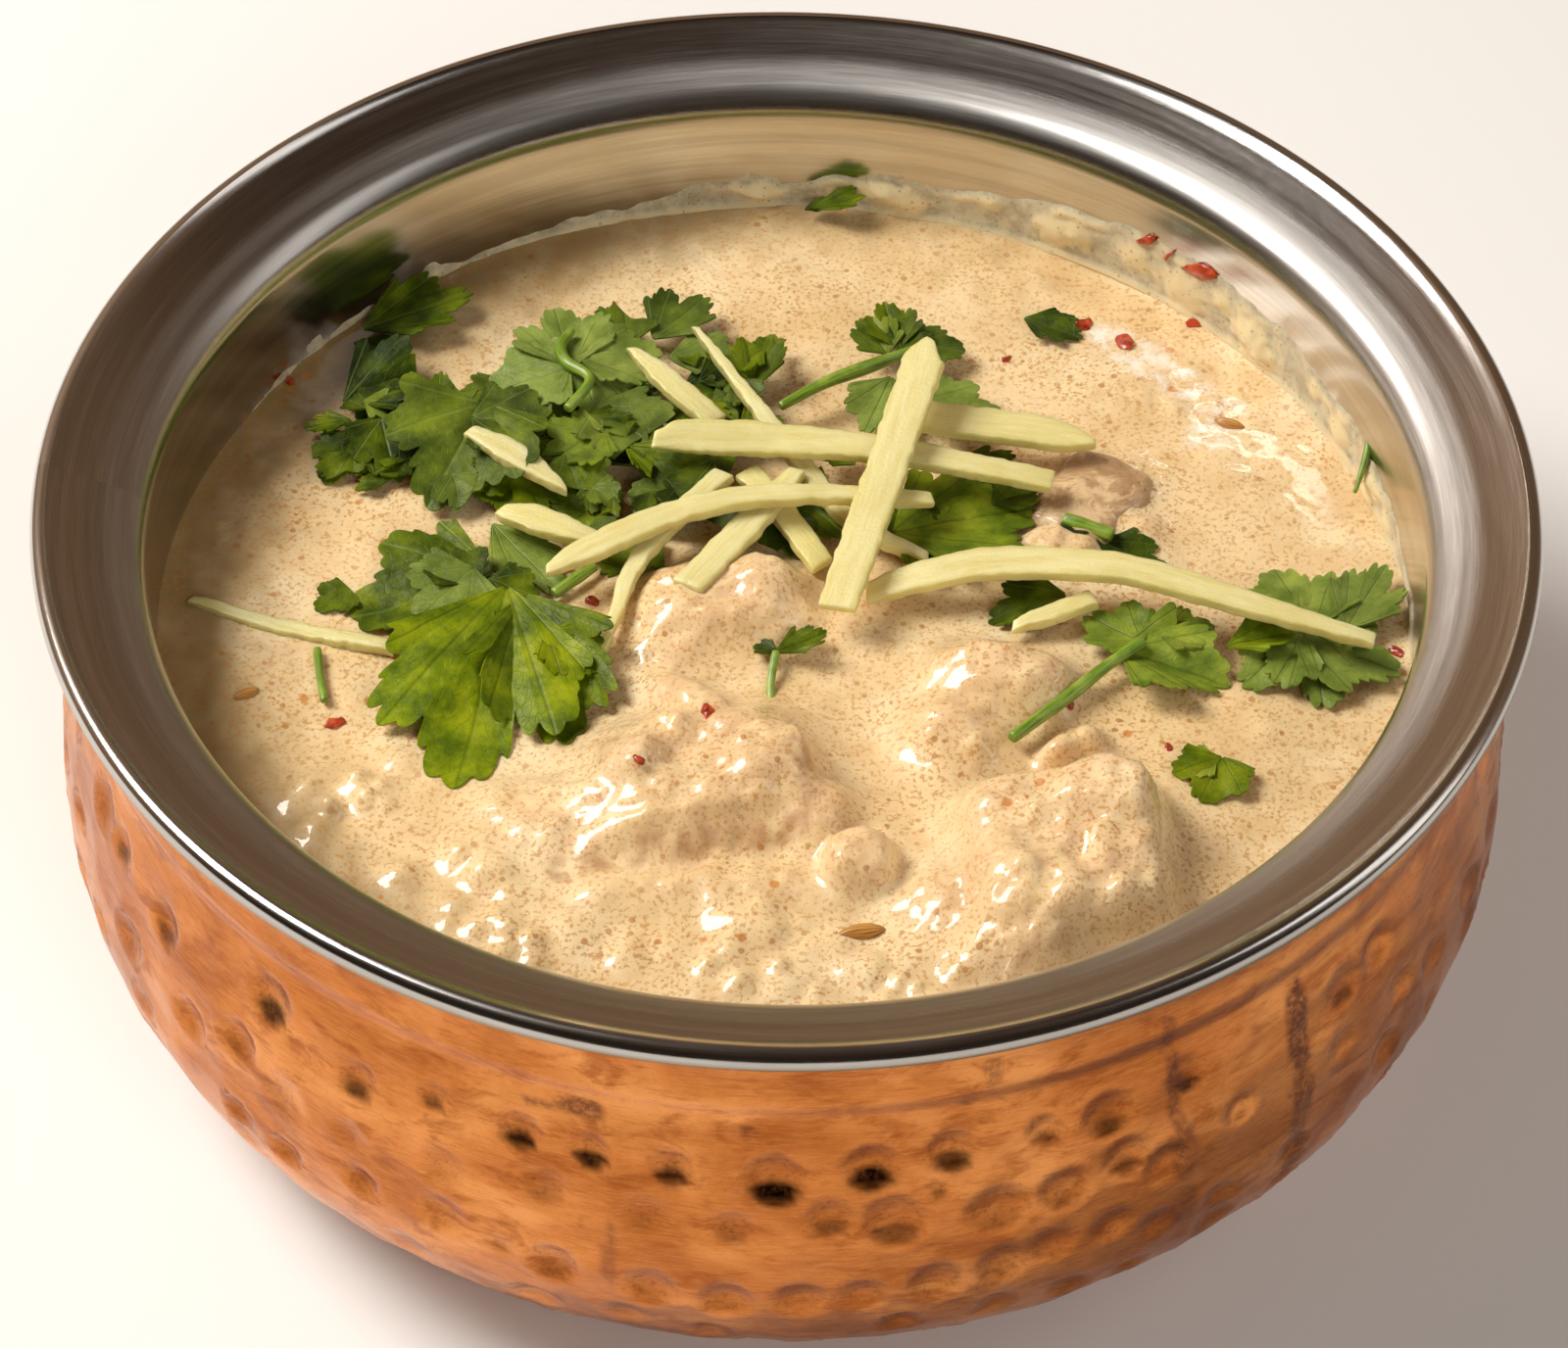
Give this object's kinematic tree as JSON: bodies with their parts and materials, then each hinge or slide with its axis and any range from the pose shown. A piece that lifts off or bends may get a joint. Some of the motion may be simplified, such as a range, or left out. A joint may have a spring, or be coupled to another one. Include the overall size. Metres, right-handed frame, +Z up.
{
  "type": "chicken curry in a copper serving bowl",
  "caption": "Creamy chicken curry with ginger strips and coriander leaves, in a round double-walled steel and hammered copper serving bowl with a wide flared rim.",
  "frame": {"origin": "middle of the bowl's flat underside, on the table", "axes": "+Z up along the bowl's axis, -Y towards the viewer, +X to the viewer's right"},
  "size_m": [0.16, 0.16, 0.063],
  "materials": {
    "steel": "brushed in rings on the rim, polished at the bend",
    "copper": "hammered copper with brown patina in the dents",
    "gravy": "wet cream gravy with fine brown specks",
    "chicken": "cooked meat, wet and coated with gravy",
    "ginger": "moist, fine fibres along each strip",
    "coriander_leaf": "satin leaf with lighter veins",
    "coriander_stem": "moist green stalk"
  },
  "bodies": {
    "root": {"bowl_liner": "steel", "copper_shell": "copper", "ginger_1": "ginger", "ginger_2": "ginger", "ginger_3": "ginger", "ginger_4": "ginger", "ginger_5": "ginger", "ginger_6": "ginger", "ginger_7": "ginger", "ginger_8": "ginger", "ginger_9": "ginger", "ginger_10": "ginger", "ginger_11": "ginger", "ginger_12": "ginger", "ginger_13": "ginger", "ginger_14": "ginger", "coriander_stem_back": "coriander_stem", "coriander_stem_right": "coriander_stem", "coriander_leaf_back_left": "coriander_leaf", "coriander_leaf_front_dark": "coriander_leaf", "coriander_leaf_front_bright": "coriander_leaf", "coriander_leaf_back_sprig": "coriander_leaf", "coriander_leaf_under_strips": "coriander_leaf", "coriander_leaf_middle": "coriander_leaf", "coriander_leaf_folded_right": "coriander_leaf", "coriander_leaf_right": "coriander_leaf", "coriander_leaf_small_right": "coriander_leaf", "coriander_leaf_small_middle": "coriander_leaf", "coriander_heap_left": "coriander_leaf", "coriander_heap_middle": "coriander_leaf", "chicken_1": "chicken", "chicken_2": "chicken", "chicken_3": "chicken", "chicken_4": "chicken", "chicken_5": "chicken", "chicken_6": "chicken", "gravy": "gravy"}
  },
  "joints": []
}
